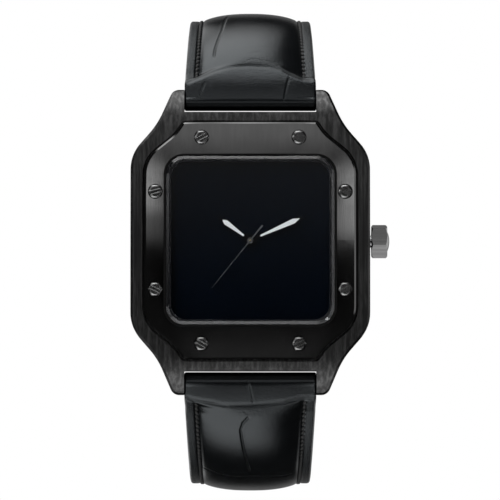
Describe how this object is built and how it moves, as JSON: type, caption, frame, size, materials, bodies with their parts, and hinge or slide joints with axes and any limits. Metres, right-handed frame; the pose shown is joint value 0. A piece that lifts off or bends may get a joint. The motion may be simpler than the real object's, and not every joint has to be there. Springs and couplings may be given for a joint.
{
  "type": "wristwatch",
  "caption": "Square wristwatch with a notched domed bezel, screws round the dial, hexagonal crown and padded strap with buckle",
  "frame": {"origin": "centre of the flat outer face of the case back", "axes": "+Z to 12 o'clock, +X to 3 o'clock (the crown), -Y out of the dial"},
  "size_m": [0.0433, 0.115, 0.082],
  "materials": {
    "case_coat": "black coated steel, brushed from 12 to 6 o'clock",
    "bezel_coat": "black coated steel, polished",
    "screw_coat": "black coated steel, turned",
    "crown_coat": "black coated steel, polished",
    "crystal_glass": "clear mineral glass, bevelled rim",
    "gasket_nylon": "black nylon",
    "dial_black": "glossy black lacquer",
    "ring_black": "black lacquer",
    "hand_black": "glossy black",
    "hand_inlay": "pale luminous fill",
    "second_grey": "grey lacquer",
    "back_steel": "brushed in circles",
    "plain_steel": "turned steel",
    "rubber_black": "black rubber",
    "holder_plastic": "white moulded plastic",
    "plate_brass": "plated brass",
    "wheel_brass": "stamped brass",
    "board_green": "printed board",
    "coil_copper": "enamelled copper wire",
    "soft_iron": "stamped soft iron",
    "cell_steel": "nickel plated cell",
    "strap_leather": "black embossed leather, glossy, seams in black thread",
    "lining_leather": "black smooth leather",
    "strap_foam": "felt padding",
    "buckle_coat": "black coated steel, polished"
  },
  "bodies": {
    "case": {"case": "case_coat", "bezel": "bezel_coat", "bezel_screws": "screw_coat", "crystal": "crystal_glass", "crystal_gasket": "gasket_nylon", "dial": "dial_black", "dial_ring": "ring_black", "case_back": "back_steel", "case_back_gasket": "rubber_black", "case_back_screws": "plain_steel", "movement_holder": "holder_plastic", "main_plate": "plate_brass", "train_bridge": "plate_brass", "battery": "cell_steel", "battery_clamp": "plain_steel", "circuit_board": "board_green", "quartz_resonator": "plain_steel", "coil_core": "soft_iron", "coil_winding": "coil_copper", "stator": "soft_iron", "crown_tube": "plain_steel", "spring_bar_12": "plain_steel", "spring_bar_6": "plain_steel"},
    "minute_set": {"minute_hand": "hand_black", "minute_hand_inlay": "hand_inlay", "centre_wheel": "wheel_brass"},
    "hour_set": {"hour_hand": "hand_black", "hour_hand_inlay": "hand_inlay", "hour_wheel": "wheel_brass"},
    "second_set": {"second_hand": "second_grey", "seconds_wheel": "wheel_brass"},
    "third_set": {"third_wheel": "wheel_brass"},
    "intermediate_set": {"intermediate_wheel": "wheel_brass"},
    "rotor_set": {"rotor": "soft_iron"},
    "minute_wheel_set": {"minute_wheel": "wheel_brass"},
    "setting": {"setting_lever": "plain_steel"},
    "winder": {"crown": "crown_coat", "crown_cap": "crown_coat", "crown_gasket": "rubber_black", "stem": "plain_steel"},
    "strap_12": {"strap_12_leather": "strap_leather", "strap_12_lining": "lining_leather", "strap_12_padding": "strap_foam", "fixed_keeper": "strap_leather"},
    "keeper": {"free_keeper": "strap_leather"},
    "buckle": {"buckle_frame": "buckle_coat", "buckle_bar": "plain_steel"},
    "tongue": {"buckle_tongue": "buckle_coat"},
    "strap_6": {"strap_6_leather": "strap_leather", "strap_6_lining": "lining_leather", "strap_6_padding": "strap_foam"},
    "bar_12_pin_left": {"spring_bar_12_pin_left": "plain_steel"},
    "bar_12_pin_right": {"spring_bar_12_pin_right": "plain_steel"},
    "bar_6_pin_left": {"spring_bar_6_pin_left": "plain_steel"},
    "bar_6_pin_right": {"spring_bar_6_pin_right": "plain_steel"},
    "buckle_pin_left": {"buckle_bar_pin_left": "plain_steel"},
    "buckle_pin_right": {"buckle_bar_pin_right": "plain_steel"}
  },
  "joints": [
    {"name": "minute_spin", "type": "hinge", "parent": "case", "child": "minute_set", "pos_m": [0, -0.00332, 0], "axis": [0, 1, 0], "continuous": true},
    {"name": "hour_spin", "type": "hinge", "parent": "case", "child": "hour_set", "pos_m": [0, -0.00332, 0], "axis": [0, 1, 0], "continuous": true},
    {"name": "second_spin", "type": "hinge", "parent": "case", "child": "second_set", "pos_m": [0, -0.00332, 0], "axis": [0, 1, 0], "continuous": true},
    {"name": "third_spin", "type": "hinge", "parent": "case", "child": "third_set", "pos_m": [0.00279, -0.00332, 0.00102], "axis": [0, 1, 0], "continuous": true},
    {"name": "intermediate_spin", "type": "hinge", "parent": "case", "child": "intermediate_set", "pos_m": [-0.00092, -0.00332, -0.00254], "axis": [0, 1, 0], "continuous": true},
    {"name": "rotor_spin", "type": "hinge", "parent": "case", "child": "rotor_set", "pos_m": [-0.00241, -0.00332, -0.00431], "axis": [0, 1, 0], "continuous": true},
    {"name": "minute_wheel_spin", "type": "hinge", "parent": "case", "child": "minute_wheel_set", "pos_m": [0.00154, -0.00332, -0.00184], "axis": [0, 1, 0], "continuous": true},
    {"name": "crown_pull", "type": "slide", "parent": "case", "child": "setting", "axis": [1, 0, 0], "range_m": [0, 0.0012]},
    {"name": "crown_turn", "type": "hinge", "parent": "setting", "child": "winder", "pos_m": [0.02025, -0.0046, 0], "axis": [1, 0, 0], "continuous": true},
    {"name": "strap_12_swing", "type": "hinge", "parent": "case", "child": "strap_12", "pos_m": [0, -0.0024, 0.0237], "axis": [1, 0, 0], "range_deg": [-12, 80]},
    {"name": "strap_6_swing", "type": "hinge", "parent": "case", "child": "strap_6", "pos_m": [0, -0.0024, -0.0237], "axis": [-1, 0, 0], "range_deg": [-10, 80]},
    {"name": "keeper_slide", "type": "slide", "parent": "strap_12", "child": "keeper", "axis": [0, -0.9877, 0.1564], "range_m": [-0.0045, 0.006]},
    {"name": "buckle_swing", "type": "hinge", "parent": "strap_12", "child": "buckle", "pos_m": [0, 0.06546, 0.03261], "axis": [1, 0, 0], "range_deg": [-30, 20]},
    {"name": "tongue_swing", "type": "hinge", "parent": "buckle", "child": "tongue", "pos_m": [0, 0.06546, 0.03261], "axis": [1, 0, 0], "range_deg": [0, 88]},
    {"name": "bar_12_pin_left_push", "type": "slide", "parent": "case", "child": "bar_12_pin_left", "axis": [1, 0, 0], "range_m": [0, 0.0011], "stiffness_N_per_m": 300, "springref_m": -0.0005},
    {"name": "bar_12_pin_right_push", "type": "slide", "parent": "case", "child": "bar_12_pin_right", "axis": [-1, 0, 0], "range_m": [0, 0.0011], "stiffness_N_per_m": 300, "springref_m": -0.0005},
    {"name": "bar_6_pin_left_push", "type": "slide", "parent": "case", "child": "bar_6_pin_left", "axis": [1, 0, 0], "range_m": [0, 0.0011], "stiffness_N_per_m": 300, "springref_m": -0.0005},
    {"name": "bar_6_pin_right_push", "type": "slide", "parent": "case", "child": "bar_6_pin_right", "axis": [-1, 0, 0], "range_m": [0, 0.0011], "stiffness_N_per_m": 300, "springref_m": -0.0005},
    {"name": "buckle_pin_left_push", "type": "slide", "parent": "buckle", "child": "buckle_pin_left", "axis": [1, 0, 0], "range_m": [0, 0.0011], "stiffness_N_per_m": 300, "springref_m": -0.0005},
    {"name": "buckle_pin_right_push", "type": "slide", "parent": "buckle", "child": "buckle_pin_right", "axis": [-1, 0, 0], "range_m": [0, 0.0011], "stiffness_N_per_m": 300, "springref_m": -0.0005}
  ],
  "couplings": [
    {"joint": "hour_spin", "follows": "minute_spin", "ratio": 0.083333},
    {"joint": "second_spin", "follows": "minute_spin", "ratio": 60},
    {"joint": "third_spin", "follows": "minute_spin", "ratio": -8},
    {"joint": "intermediate_spin", "follows": "minute_spin", "ratio": -300},
    {"joint": "rotor_spin", "follows": "minute_spin", "ratio": 1800},
    {"joint": "minute_wheel_spin", "follows": "minute_spin", "ratio": -0.33333}
  ]
}
